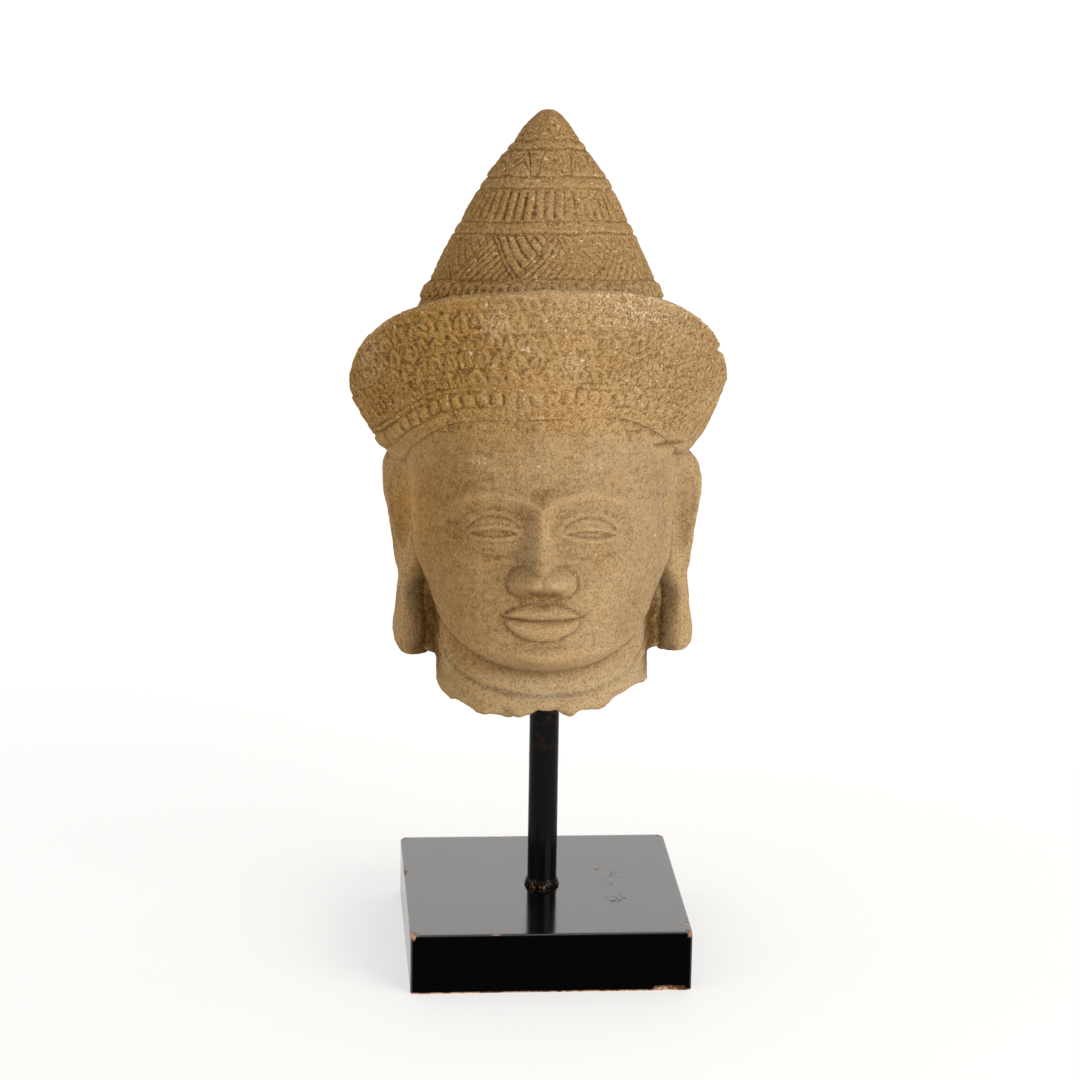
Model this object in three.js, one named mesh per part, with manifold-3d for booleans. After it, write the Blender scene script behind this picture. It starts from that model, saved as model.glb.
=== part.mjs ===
// Carved stone head with a tall tiered crown, carried by a round rod on a square block.
// Millimetres, +Z up. The block's underside is at z = 0 and its centre is the origin.

import * as THREE from 'three';
import { ParametricGeometry } from 'three/addons/geometries/ParametricGeometry.js';
import { mergeVertices } from 'three/addons/utils/BufferGeometryUtils.js';
import Module from 'manifold-3d';

const wasm = await Module();
wasm.setup();

// Driving dimensions of the stand
const blockSide = 150;
const blockHeight = 33.3;
const blockBevel = 0.8;
const rodRadius = 8;
const rodSides = 24;
const fitGap = 0.3;
const socketDepth = 25;
const neckHoleDepth = 60;
const beadRadius = 9.4;
const beadHeight = 3.8;

// Place of the head: its own frame starts where its axis meets the rod's axis
const headSeat = 138;
const headTilt = THREE.MathUtils.degToRad(-10.7);
const headYaw = THREE.MathUtils.degToRad(-4.5);

// Heights along the head's own axis
const apex = 319.6;
const hairline = 157;
const chin = 22;
const coneFoot = 217;
const crownBottom = 150;

// Face by the rule of thirds and of five eye widths
const third = (hairline - chin) / 3;
const brow = hairline - third;
const noseBase = brow - third;
const eyeLine = brow - 0.32 * third;
const mouthLine = noseBase - third / 3;
const faceHalfWidth = 63;
const eyeWidth = (2 * faceHalfWidth) / 5;

// Cone: rings that part its tiers, as [lower, upper] heights
const capRing = [297.5, 302];
const petalRing = [276.6, 282.6];
const ribRing = [253, 259];
const bossRow = [218.5, 227.5];
const ringDepth = 1.2;
const ringRoll = 0.017;
const bossCount = 44;
const petalCount = 11;
const petalTurn = 0.29;
const zigzagCount = 9;
const zigzagTurn = -0.25;

// Diadem
const diademRoll = 0.04;
const rimRadius = { front: 102, side: 101.8, back: 96 };
const rimFullness = 1.95;
const bandFoot = { front: 77.5, side: 76, back: 82 };
const valleyFloor = 185;
const filletHeight = 7;
const pearlHeight = 7;
const pearlDepth = 1.8;
const scaleDepth = 1;
const pearlCount = 42;

// Carving runs round the front and the sides, the back is plain
const carvedArc = THREE.MathUtils.degToRad(112);
const plainColumns = 10;

// Ears
const earTop = 142;
const earDepth = 9;
const earBottom = 26;
const lobeDrop = 2.2;
const earTurn = THREE.MathUtils.degToRad(44);
const earThickness = 6.5;
const lobeSetback = 10;

const stoneLook = { color: 0xa98556, roughness: 0.93, metalness: 0 };
const rodLook = { color: 0x0d0c0c, roughness: 0.38, metalness: 0.2 };
const blockLook = { color: 0x0a0909, roughness: 0.22, metalness: 0 };

const { clamp, lerp, smoothstep } = THREE.MathUtils;
const wave = (angle) => 0.5 + 0.5 * Math.cos(angle);
const gable = (turns) => 2 * Math.abs(turns - Math.round(turns));
const ridge = (offset, width) => Math.exp(-((offset / width) ** 2));
const dome = (a, b) => Math.sqrt(Math.max(0, 1 - a * a - b * b));
const softMax = (a, b, blend) => 0.5 * (a + b + Math.hypot(a - b, blend));

// Smooth curve through a few [position, value] points, level beyond its ends
function through(points) {
  const slope = (k) => {
    const before = points[Math.max(k - 1, 0)];
    const after = points[Math.min(k + 1, points.length - 1)];
    return (after[1] - before[1]) / (after[0] - before[0]);
  };
  return (position) => {
    const at = clamp(position, points[0][0], points[points.length - 1][0]);
    let k = 0;
    while (k < points.length - 2 && at > points[k + 1][0]) k += 1;
    const [from, a] = points[k];
    const [to, b] = points[k + 1];
    const span = to - from;
    const t = (at - from) / span;
    const rise = span * slope(k) * t * (1 - t) ** 2;
    const fall = span * slope(k + 1) * t * t * (t - 1);
    return a * (1 + 2 * t) * (1 - t) ** 2 + b * t * t * (3 - 2 * t) + rise + fall;
  };
}

// Solid from a closed mesh; only positions are kept, and the pinched triangles at poles go
function solidOf(source) {
  const bare = source.clone();
  bare.deleteAttribute('normal');
  bare.deleteAttribute('uv');
  const merged = mergeVertices(bare, 1e-4);
  const corners = merged.index.array;
  const kept = [];
  for (let i = 0; i < corners.length; i += 3) {
    const [a, b, c] = corners.slice(i, i + 3);
    if (a !== b && b !== c && c !== a) kept.push(a, b, c);
  }
  const vertProperties = new Float32Array(merged.attributes.position.array);
  const triVerts = new Uint32Array(kept);
  return new wasm.Manifold(new wasm.Mesh({ numProp: 3, vertProperties, triVerts }));
}

function geometryOf(solid) {
  const mesh = solid.getMesh();
  const geometry = new THREE.BufferGeometry();
  geometry.setAttribute('position', new THREE.BufferAttribute(mesh.vertProperties, 3));
  geometry.setIndex(new THREE.BufferAttribute(mesh.triVerts, 1));
  geometry.computeVertexNormals();
  return geometry;
}

// Closed skin of rings: place(column, row) gives a point, the first and last rows are poles
function ringSolid(columns, rows, place) {
  const point = (u, v, target) => {
    const column = Math.round(u * columns) % columns;
    target.copy(place(column, Math.round(v * rows)));
  };
  return solidOf(new ParametricGeometry(point, columns, rows));
}

// The head's middle line sways a little from its axis
const sway = through([[0, -1.5], [110, -3], [180, -6.4], [225, -4.9], [apex, -2.9]]);

// Point at an angle from the face's middle, positive towards +X
function around(angle, radius, z) {
  return new THREE.Vector3(sway(z) + radius * Math.sin(angle), -radius * Math.cos(angle), z);
}

// Angle of a column: close together round the front, wide apart round the plain back
function columnAngle(column, frontColumns, frontArc) {
  if (column <= frontColumns) return lerp(-frontArc, frontArc, column / frontColumns);
  return lerp(frontArc, 2 * Math.PI - frontArc, (column - frontColumns) / plainColumns);
}

// Radius of an oval section with its own front, side and back reach
function oval(angle, front, side, back, fullness) {
  const reach = Math.cos(angle) > 0 ? front : back;
  const across = Math.abs(Math.sin(angle) / side) ** fullness;
  const along = Math.abs(Math.cos(angle) / reach) ** fullness;
  return (across + along) ** (-1 / fullness);
}

// Relief of the face, forward from the plain head form
function faceRelief(x, z) {
  const side = Math.abs(x);
  const eye = (side - eyeWidth) / eyeWidth;
  const browCurve = brow - 2 + 7 * (1 - eye * eye);
  const browFade = 1 - smoothstep(side, 1.5 * eyeWidth, 2.1 * eyeWidth);
  const noseRun = smoothstep(z, noseBase - 1, noseBase + 5) * (1 - smoothstep(z, brow - 8, brow + 8));
  const noseRise = lerp(19, 5, smoothstep(z, noseBase, brow));
  const noseWidth = lerp(9, 6.5, smoothstep(z, noseBase + 4, brow));
  const lipSpan = clamp(1 - (side / (0.82 * eyeWidth)) ** 2, 0, 1);
  const forms = [
    2.4 * ridge(z - browCurve, 5) * browFade,
    -5 * ridge(eye, 0.75) * ridge(z - eyeLine - 2, 10),
    4.6 * dome(eye / 0.58, (z - eyeLine) / 8.5),
    noseRise * noseRun * ridge(x, noseWidth),
    8 * dome((side - 10) / 7.5, (z - noseBase - 5) / 7),
    5 * ridge(z - mouthLine - 4, 3.6) * Math.sqrt(lipSpan),
    5.5 * ridge(z - mouthLine + 4.5, 4) * lipSpan,
    -2.2 * ridge(z - mouthLine + 12, 3.5) * ridge(x, 16),
    4.5 * ridge(z - chin - 9, 9) * ridge(x, 15),
    2.6 * ridge(side - 33, 16) * ridge(z - noseBase - 5, 20),
  ];
  return forms.reduce((sum, form) => sum + form, 0);
}

// Face, back of the head and neck in one skin, from the broken underside up into the crown
const faceSide = through([[10, 40], [30, 50], [45, 56], [60, 60], [85, 63], [110, 64.5], [170, 66]]);
const faceFront = through([[10, 62], [25, 70], [50, 73], [90, 74], [115, 77], [170, 75]]);
const faceBack = through([[10, 50], [50, 60], [80, 70], [115, 79], [170, 80]]);
const jawLine = through([[0, 17], [0.5, 20], [1, 31], [1.4, 50], [1.9, 60], [Math.PI, 46]]);
const breakLine = through([
  [-Math.PI, 6], [-1.5, 9], [-1.1, 6], [-0.7, -1], [-0.42, -2.4], [-0.1, 2.2], [0.3, -0.6], [0.6, 2.6], [1.3, 13],
  [Math.PI, 6],
]);

function coreRadius(angle, z) {
  const lift = jawLine(Math.abs(angle));
  const under = clamp((lift + 17 - z) / 17, 0, 1);
  const form = oval(angle, faceFront(z), faceSide(z), faceBack(z), 2.35);
  const neckSide = lerp(57, 52, smoothstep(z, 60, 110));
  const webFoot = earBottom + 1 + lobeDrop * Math.sin(angle);
  const web = 15 * ridge(Math.abs(angle) - 1.92, 0.22) * smoothstep(z, webFoot, webFoot + 4);
  const neck = oval(angle, 50, neckSide, 58, 2.2) + web - ridge(z - 14, 3);
  const earRoot = 6 * ridge(Math.abs(angle) - 1.5, 0.28) * smoothstep(z, 58, 84);
  const temple = 5.5 * ridge(Math.abs(angle) - 1.12, 0.3) * smoothstep(z, 112, 140);
  return softMax(form * Math.sqrt(1 - under * under) + earRoot + temple, neck, 3);
}

function headCore() {
  const heights = [0, 5, 10, 13, 17];
  for (let z = 20; z < brow; z += 5.5) heights.push(z);
  for (let z = brow + 4; z <= hairline + 3; z += 11) heights.push(z);
  const faceColumns = 34;
  const faceArc = 1.35;
  const columns = faceColumns + plainColumns;
  const rows = heights.length + 3;
  const place = (column, row) => {
    const angle = columnAngle(column, faceColumns, faceArc);
    const turned = angle > Math.PI ? angle - 2 * Math.PI : angle;
    const rough = 1.2 * Math.sin(7 * angle) + 0.8 * Math.sin(13 * angle + 1);
    const edge = breakLine(turned) + rough;
    if (row === 0) return around(0, 0, 6);
    if (row === rows) return around(0, 0, hairline + 8);
    if (row === 1) return around(angle, 0.62 * coreRadius(turned, edge), 0.5 * edge + 4);
    if (row === 2) return around(angle, 0.965 * coreRadius(turned, edge), edge);
    const height = heights[row - 3];
    const z = height + Math.max(0, (edge + 2) * (1 - height / 30));
    const point = around(angle, coreRadius(turned, z), z);
    if (Math.abs(turned) < faceArc) point.y -= faceRelief(point.x - sway(z), z);
    return point;
  };
  return ringSolid(columns, rows, place);
}

// Ear: a slab half turned to the front, hollow above, with a long lobe that widens below
const earOuter = through([
  [24, 75], [31, 79], [39, 80.2], [55, 78.4], [72, 77.2], [99, 81], [116, 84.3], [130, 83.4], [142, 77],
]);
const earInner = through([[24, 63], [39, 63], [55, 64.5], [72, 65], [99, 63], [142, 62]]);

function ear(side) {
  const columns = 16;
  const rows = 13;
  const turn = [Math.cos(earTurn), Math.sin(earTurn)];
  const place = (column, row) => {
    const run = row / rows;
    const z = lerp(earBottom + side * lobeDrop, earTop, 0.5 - 0.5 * Math.cos(Math.PI * run));
    const round = Math.sqrt(1 - Math.abs(2 * run - 1) ** 9);
    const loop = (-side * 2 * Math.PI * column) / columns;
    const middle = 0.5 * (earInner(z) + earOuter(z));
    const reach = ((earOuter(z) - earInner(z)) / 2 / turn[0]) * round;
    const hollow = smoothstep(z, 76, 92) * (1 - smoothstep(z, 116, 126));
    const front = Math.sin(loop) > 0 ? 1 - 0.75 * hollow * ridge(Math.cos(loop) - 0.1, 0.5) : 1;
    const along = reach * Math.cos(loop);
    const off = earThickness * round * front * Math.sin(loop);
    const x = middle + along * turn[0] + off * turn[1];
    const setback = lobeSetback * Math.max(0, -Math.cos(loop)) ** 1.3 * (1 - smoothstep(z, 58, 76));
    const y = earDepth + along * turn[1] - off * turn[0] + setback;
    return new THREE.Vector3(sway(z) + side * x, y, z);
  };
  return ringSolid(columns, rows, place);
}

// Diadem: a flared band, high over the forehead, with a fillet, a row of pearls and scales
const diademFoot = through([
  [0, hairline], [0.55, 156.5], [0.8, 151.5], [1.1, 142.5], [1.4, 135], [2, 130], [Math.PI, 127],
]);

const rimLine = through([
  [0, 221.5], [0.52, 218.4], [0.96, 206.4], [1.31, 188.5], [1.57, 172.7], [2.36, 166.6], [Math.PI, 166.6],
]);

function bandPoint(angle, climb, proud) {
  const turned = Math.abs(angle);
  const flare = lerp(0.65, 1.15, Math.max(0, Math.cos(angle)));
  const foot = oval(angle, bandFoot.front, bandFoot.side, bandFoot.back, 2);
  const rim = oval(angle, rimRadius.front, rimRadius.side, rimRadius.back, rimFullness);
  const radius = lerp(foot, rim, clamp(climb, 0, 1) ** flare) + proud;
  const z = lerp(diademFoot(turned), rimLine(turned), climb);
  const point = around(angle, radius, z);
  point.z += diademRoll * point.x;
  return point;
}

function diadem() {
  const pearlColumns = 2 * pearlCount;
  const columns = pearlColumns + plainColumns;
  const courses = 3;
  const rows = courses + 11;
  const place = (column, row) => {
    const angle = columnAngle(column, pearlColumns, carvedArc);
    const turned = angle > Math.PI ? angle - 2 * Math.PI : angle;
    const carved = column > 0 && column < pearlColumns ? 1 : 0;
    const high = column % 2;
    const band = rimLine(Math.abs(turned)) - diademFoot(Math.abs(turned));
    const pearlFoot = filletHeight / band;
    const pearlTop = (filletHeight + pearlHeight) / band;
    if (row === 0) return around(0, 0, crownBottom);
    if (row === 1) return bandPoint(turned, 0, -7);
    if (row === 2) return bandPoint(turned, 0, 0);
    if (row === 3) return bandPoint(turned, pearlFoot, 0.6);
    if (row === 4) return bandPoint(turned, 0.5 * (pearlFoot + pearlTop), carved * high * pearlDepth);
    if (row === 5) return bandPoint(turned, pearlTop, 0.6);
    if (row === 6) return bandPoint(turned, pearlTop + 1.8 / band, -0.8);
    const course = row - 7;
    if (course < courses) {
      const staggered = (column + course) % 2;
      const climb = lerp(pearlTop + 3 / band, 1, (course + 0.4) / courses);
      return bandPoint(turned, climb, carved * staggered * scaleDepth);
    }
    if (row === rows - 4) return bandPoint(turned, 1, 0);
    const inner = bandPoint(turned, 1, -3.2);
    if (row === rows - 3) return inner.setZ(inner.z + 2);
    const ledge = bandPoint(turned, 1, -9);
    if (row === rows - 2) return ledge.setZ(ledge.z + 1);
    const valley = bandPoint(turned, 1, -13);
    if (row === rows - 1) return valley.setZ(valley.z - 6);
    return around(0, 0, valleyFloor);
  };
  return ringSolid(columns, rows, place);
}

// Cone in tiers: bosses, zigzag triangles, ribs, petals and a worn cap, parted by rings
const coneSlope = through([
  [crownBottom, 76], [180, 75], [coneFoot, 65.3], [236, 57], [256, 46.8], [279.6, 33.6], [302, 18.2],
  [311, 12], [317.5, 5.5], [apex, 1.5],
]);

function coneRelief(angle, z) {
  const within = ([low, high]) => (z > low - 0.1 && z < high + 0.1 ? 1 : 0);
  const ring = ringDepth * (within(capRing) + within(petalRing) + within(ribRing));
  if (Math.abs(angle) > carvedArc) return ring;
  const petal = gable((petalCount * (angle - petalTurn)) / (2 * Math.PI));
  const petalTop = lerp(petalRing[1], capRing[0], 0.95 - 0.75 * petal ** 2);
  const petals = z > petalRing[1] + 0.1 && z < petalTop ? 1 : 0;
  const ribs = z > ribRing[1] + 0.1 && z < petalRing[0] - 0.1 ? wave(bossCount * angle) : 0;
  const zigzag = gable((zigzagCount * (angle - zigzagTurn)) / (2 * Math.PI));
  const panelTop = lerp(bossRow[1] + 1, ribRing[0], zigzag);
  const panels = z > bossRow[1] + 0.6 && z < panelTop ? 1 : 0;
  const middle = 0.5 * (bossRow[0] + bossRow[1]);
  const bosses = Math.abs(z - middle) < 1 ? wave(bossCount * angle) : 0;
  return ring + 1.1 * petals + 1.3 * ribs + panels + 1.8 * bosses;
}

function cone() {
  const heights = [
    crownBottom, 190, bossRow[0] - 0.5, 0.5 * (bossRow[0] + bossRow[1]), bossRow[1], bossRow[1] + 1.2,
    236.5, 245, ribRing[0] - 0.6, ribRing[0], ribRing[1], ribRing[1] + 1, petalRing[0] - 1,
    petalRing[0], petalRing[1], petalRing[1] + 1, 290, capRing[0], capRing[1], capRing[1] + 0.8, 311, 317.5,
  ];
  const rows = heights.length + 1;
  const frontColumns = 2 * Math.round((bossCount * carvedArc) / Math.PI);
  const frontArc = (frontColumns / 2 / bossCount) * Math.PI;
  const place = (column, row) => {
    const angle = columnAngle(column, frontColumns, frontArc);
    if (row === 0) return around(0, 0, crownBottom - 4);
    if (row === rows) return around(0, 0, apex);
    const z = heights[row - 1];
    const point = around(angle, coneSlope(z) + coneRelief(angle, z), z);
    point.z += ringRoll * (point.x - sway(z));
    return point;
  };
  return ringSolid(frontColumns + plainColumns, rows, place);
}

function stoneHead() {
  const placing = new THREE.Matrix4().makeRotationFromEuler(new THREE.Euler(headTilt, 0, headYaw, 'ZYX'));
  placing.setPosition(0, 0, headSeat);
  const depth = neckHoleDepth + 30;
  const hole = new THREE.CylinderGeometry(rodRadius + fitGap, rodRadius + fitGap, depth, rodSides);
  hole.rotateX(Math.PI / 2);
  hole.translate(0, 0, headSeat + neckHoleDepth + fitGap - depth / 2);
  hole.applyMatrix4(placing.clone().invert());
  const parts = [headCore(), diadem(), cone(), ear(1), ear(-1)];
  const whole = parts.reduce((sum, part) => sum.add(part)).subtract(solidOf(hole));
  const head = new THREE.Mesh(geometryOf(whole), new THREE.MeshStandardMaterial(stoneLook));
  head.name = 'stone_head';
  const seat = new THREE.Group();
  seat.applyMatrix4(placing);
  seat.add(head);
  return seat;
}

// Rod with the rough bead of lacquer round its foot
function supportRod() {
  const foot = blockHeight - socketDepth + fitGap;
  const beadFoot = blockHeight + fitGap;
  const rodTop = headSeat + neckHoleDepth;
  const profile = [
    [0, foot], [rodRadius, foot], [rodRadius, beadFoot], [beadRadius, beadFoot], [beadRadius, beadFoot + 1.4],
    [rodRadius + 0.7, beadFoot + beadHeight - 0.8], [rodRadius, beadFoot + beadHeight],
    [rodRadius, rodTop], [0, rodTop],
  ].map(([radius, z]) => new THREE.Vector2(radius, z));
  const lathe = new THREE.LatheGeometry(profile, rodSides);
  lathe.rotateX(Math.PI / 2);
  const rod = new THREE.Mesh(geometryOf(solidOf(lathe)), new THREE.MeshStandardMaterial(rodLook));
  rod.name = 'support_rod';
  return rod;
}

// Square block, edges just broken, with a blind socket for the rod
function baseBlock() {
  const half = blockSide / 2 - blockBevel;
  const outline = new THREE.Shape();
  outline.moveTo(-half, -half);
  outline.lineTo(half, -half);
  outline.lineTo(half, half);
  outline.lineTo(-half, half);
  outline.closePath();
  const body = new THREE.ExtrudeGeometry(outline, {
    depth: blockHeight - 2 * blockBevel,
    bevelEnabled: true,
    bevelThickness: blockBevel,
    bevelSize: blockBevel,
    bevelSegments: 2,
  });
  body.translate(0, 0, blockBevel);
  const socketRadius = rodRadius + fitGap;
  const socket = new THREE.CylinderGeometry(socketRadius, socketRadius, 2 * socketDepth, rodSides);
  socket.rotateX(Math.PI / 2);
  socket.translate(0, 0, blockHeight);
  const solid = solidOf(body).subtract(solidOf(socket));
  const block = new THREE.Mesh(geometryOf(solid), new THREE.MeshStandardMaterial(blockLook));
  block.name = 'base_block';
  return block;
}

const model = new THREE.Group();
model.add(baseBlock(), supportRod(), stoneHead());

export default model;
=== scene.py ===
import math

import bpy
import numpy as np
from mathutils import Euler, Matrix, Vector


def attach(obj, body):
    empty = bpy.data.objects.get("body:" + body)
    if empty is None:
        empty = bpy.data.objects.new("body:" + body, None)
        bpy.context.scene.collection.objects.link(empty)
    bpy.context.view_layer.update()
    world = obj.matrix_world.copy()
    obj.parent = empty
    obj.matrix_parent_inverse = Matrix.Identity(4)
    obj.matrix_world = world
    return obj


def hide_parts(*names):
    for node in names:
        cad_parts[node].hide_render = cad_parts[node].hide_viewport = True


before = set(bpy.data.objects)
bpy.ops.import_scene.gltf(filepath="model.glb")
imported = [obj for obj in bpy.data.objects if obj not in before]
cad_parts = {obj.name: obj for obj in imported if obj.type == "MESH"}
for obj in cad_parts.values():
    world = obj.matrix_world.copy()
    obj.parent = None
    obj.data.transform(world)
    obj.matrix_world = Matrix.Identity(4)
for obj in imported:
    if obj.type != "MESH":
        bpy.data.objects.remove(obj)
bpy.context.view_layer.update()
mm = 0.001
print("frame loaded:", sorted(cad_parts))


# shared maths, all in millimetres and in whole arrays

def through(points):
    # cubic curve through a few (position, value) points, mean slope at each, level beyond the ends
    x, y = np.array(points, float).T
    slope = np.gradient(y)
    slope[1:-1] = (y[2:] - y[:-2]) / (x[2:] - x[:-2])
    slope[0] = (y[1] - y[0]) / (x[1] - x[0])
    slope[-1] = (y[-1] - y[-2]) / (x[-1] - x[-2])

    def value(position):
        at = np.clip(position, x[0], x[-1])
        k = np.clip(np.searchsorted(x, at, side="right") - 1, 0, len(x) - 2)
        span = x[k + 1] - x[k]
        t = (at - x[k]) / span
        level = y[k] * (1 + 2 * t) * (1 - t) ** 2 + y[k + 1] * t * t * (3 - 2 * t)
        return level + span * slope[k] * t * (1 - t) ** 2 + span * slope[k + 1] * t * t * (t - 1)
    return value


def ridge(offset, width):
    return np.exp(-((offset / width) ** 2))  # round-topped hump, 1 in the middle


def step(x, low, high):
    t = np.clip((x - low) / (high - low), 0, 1)  # 0 below low, 1 above high, smooth between
    return t * t * (3 - 2 * t)


def window(x, low, high, soft):
    return step(x, low - soft, low + soft) * (1 - step(x, high - soft, high + soft))


def dome(a, b):
    return np.sqrt(np.clip(1 - a * a - b * b, 0, 1))  # upper half of a unit ball


def mound(a, b):
    return np.clip(1 - a * a - b * b, 0, 1) ** 1.6  # round hill that runs out softly


def lerp(a, b, t):
    return a + (b - a) * t


def softMax(a, b, blend):
    return 0.5 * (a + b + np.hypot(a - b, blend))


def lumps(points, size, seed):
    # lattice noise from -1 to 1: random values at the corners of cubes of this size, blended between them
    table = np.random.default_rng(seed).uniform(-1, 1, (64, 64, 64))
    spot = points / size
    cell = np.floor(spot).astype(int)
    part = spot - cell
    part = part * part * (3 - 2 * part)
    total = np.zeros(points.shape[:-1])
    for corner in np.ndindex(2, 2, 2):
        share = np.prod(np.where(corner, part, 1 - part), axis=-1)
        i, j, k = ((cell[..., axis] + corner[axis]) % 64 for axis in range(3))
        total += share * table[i, j, k]
    return total


def spread(*parts):
    # positions along a grid from (start, end, count) stretches, each shared end once
    stretches = [np.linspace(a, b, n, endpoint=False) for a, b, n in parts]
    return np.concatenate(stretches + [[parts[-1][1]]])


def ringAngles(arc, inFront, behind):
    # angles round a ring from the middle of the face, closer together in the arc in front
    turned = spread((-arc, arc, inFront), (arc, 2 * math.pi - arc, behind))[:-1]
    return np.where(turned > math.pi, turned - 2 * math.pi, turned)


# mesh making

def meshFromGrid(name, points):
    # closed skin: each row of points is a ring, and the first and last rows shrink to one pole
    rows, columns = points.shape[:2]
    rings = points[1:-1].reshape(-1, 3)
    places = np.concatenate([points[0, :1], rings, points[-1, :1]])
    ring = 1 + np.arange((rows - 2) * columns).reshape(rows - 2, columns)
    ahead = np.roll(ring, -1, axis=1)
    quads = np.stack([ring[:-1], ahead[:-1], ahead[1:], ring[1:]], axis=-1).reshape(-1, 4)
    last = len(places) - 1
    under = np.stack([np.zeros(columns, int), ahead[0], ring[0]], axis=-1)
    over = np.stack([np.full(columns, last), ring[-1], ahead[-1]], axis=-1)
    triangles = np.concatenate([under, over])
    corners = np.concatenate([quads.ravel(), triangles.ravel()])
    sizes = np.concatenate([np.full(len(quads), 4), np.full(len(triangles), 3)])
    mesh = bpy.data.meshes.new(name)
    mesh.vertices.add(len(places))
    mesh.vertices.foreach_set("co", places.ravel())
    mesh.loops.add(len(corners))
    mesh.loops.foreach_set("vertex_index", corners)
    mesh.polygons.add(len(sizes))
    mesh.polygons.foreach_set("loop_start", np.concatenate([[0], np.cumsum(sizes)[:-1]]))
    mesh.polygons.foreach_set("use_smooth", np.ones(len(sizes), bool))
    mesh.update(calc_edges=True)
    mesh.validate()
    return mesh


def newObject(name, mesh):
    thing = bpy.data.objects.new(name, mesh)
    bpy.context.scene.collection.objects.link(thing)
    return thing


def settled(thing):
    # the mesh that the object's modifiers give
    bpy.context.view_layer.update()
    seen = thing.evaluated_get(bpy.context.evaluated_depsgraph_get())
    return bpy.data.meshes.new_from_object(seen)


def dropped(*things):
    for thing in things:
        mesh = thing.data
        bpy.data.objects.remove(thing)
        bpy.data.meshes.remove(mesh)


def vertexArray(mesh, what="co"):
    flat = np.empty(len(mesh.vertices) * 3)
    source = mesh.vertices if what == "co" else mesh.vertex_normals
    source.foreach_get("co" if what == "co" else "vector", flat)
    return flat.reshape(-1, 3)


def setAttribute(mesh, name, values):
    layer = mesh.attributes.new(name, "FLOAT", "POINT")
    layer.data.foreach_set("value", np.ascontiguousarray(values, dtype=np.float32))


# stone head

stoneSettings = {
    "seat": 138, "tilt": -10.7, "yaw": -4.5,
    "apex": 319.6, "hairline": 157, "chin": 22, "coneFoot": 217, "crownBottom": 150,
    "faceHalfWidth": 63,
    "capRing": (297.5, 302), "petalRing": (276.6, 282.6), "ribRing": (253, 259), "bossRow": (218.5, 227.5),
    "bossCount": 44, "ribCount": 48, "petalCount": 11, "petalTurn": 0.08,
    "zigzagCount": 9, "zigzagTurn": -0.25, "leafCount": 9, "coneRoll": 0.017, "diademRoll": 0.04,
    "bossHeight": 2.3, "ribDepth": 2.0, "archDepth": 1.5, "innerArchDepth": 1.1, "hatchDepth": 1.8,
    "crossHatchDepth": 1.5, "pearlDepth": 1.9, "slitDepth": 2.0, "scaleDepth": 1.5,
    "rimFront": 102, "rimSide": 101.8, "rimBack": 96, "rimFullness": 1.95,
    "filletHeight": 7, "pearlHeight": 7, "pearlWidth": math.radians(5.333),
    "earTop": 142, "earBottom": 26, "lobeDrop": 2.2, "earTurn": 44, "earThickness": 6.5, "lobeSetback": 10,
    "earRim": 2.3, "bowlDepth": 6,
    "lockCount": 62, "lockDepth": 0.008, "holeRadius": 8.3, "holeDepth": 60.3,
    "triangleLimit": 196000,
}
s = stoneSettings
third = (s["hairline"] - s["chin"]) / 3
brow = s["hairline"] - third
noseBase = brow - third
eyeLine = brow - 0.32 * third
mouthLine = noseBase - third / 3
eyeWidth = 2 * s["faceHalfWidth"] / 5

headPlace = Matrix.Translation((0, 0, s["seat"])) @ Euler(
    (math.radians(s["tilt"]), 0, math.radians(s["yaw"])), "XYZ").to_matrix().to_4x4()
sway = through([(0, -1.5), (110, -3), (180, -6.4), (225, -4.9), (s["apex"], -2.9)])


def around(angle, radius, z):
    # point at an angle from the middle of the face, positive to the right
    angle, radius, z = np.broadcast_arrays(angle, radius, z)
    return np.stack([sway(z) + radius * np.sin(angle), -radius * np.cos(angle), z], axis=-1)


def oval(angle, front, side, back, fullness):
    # superellipse radius: (|sin/side|^n + |cos/reach|^n)^(-1/n), reach being front or back
    reach = np.where(np.cos(angle) > 0, front, back)
    across = np.abs(np.sin(angle) / side) ** fullness
    along = np.abs(np.cos(angle) / reach) ** fullness
    return (across + along) ** (-1 / fullness)


def eyeRelief(side, z):
    # a soft eyeball under two lids that meet at the corners, a narrow opening and a fold above
    eye = (side - eyeWidth) / eyeWidth
    almond = np.clip(1 - (eye / 0.56) ** 2, 0, 1)
    upper = eyeLine - 0.6 + 2.4 * almond - 0.8 * eye
    lower = eyeLine - 0.6 - 2.3 * almond - 0.8 * eye
    near = step(0.66 - np.abs(eye), 0, 0.2)
    between = step(z, lower - 0.5, lower + 0.6) * (1 - step(z, upper - 0.6, upper + 0.5))
    opening = between * step(almond, 0, 0.35)
    socket = -5 * ridge(eye, 0.75) * ridge(z - eyeLine - 3, 10)
    ball = 5.6 * mound(eye / 0.86, (z - eyeLine + 0.4) / 13)
    upperLid = 0.9 * ridge(z - upper - 0.9, 1.2) * near
    lowerLid = 0.7 * ridge(z - lower + 1, 1.2) * near
    fold = -0.8 * ridge(z - upper - 5.6 * np.sqrt(almond) - 0.8, 1.2) * near
    return socket + ball + upperLid + lowerLid + fold - 0.8 * opening


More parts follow.
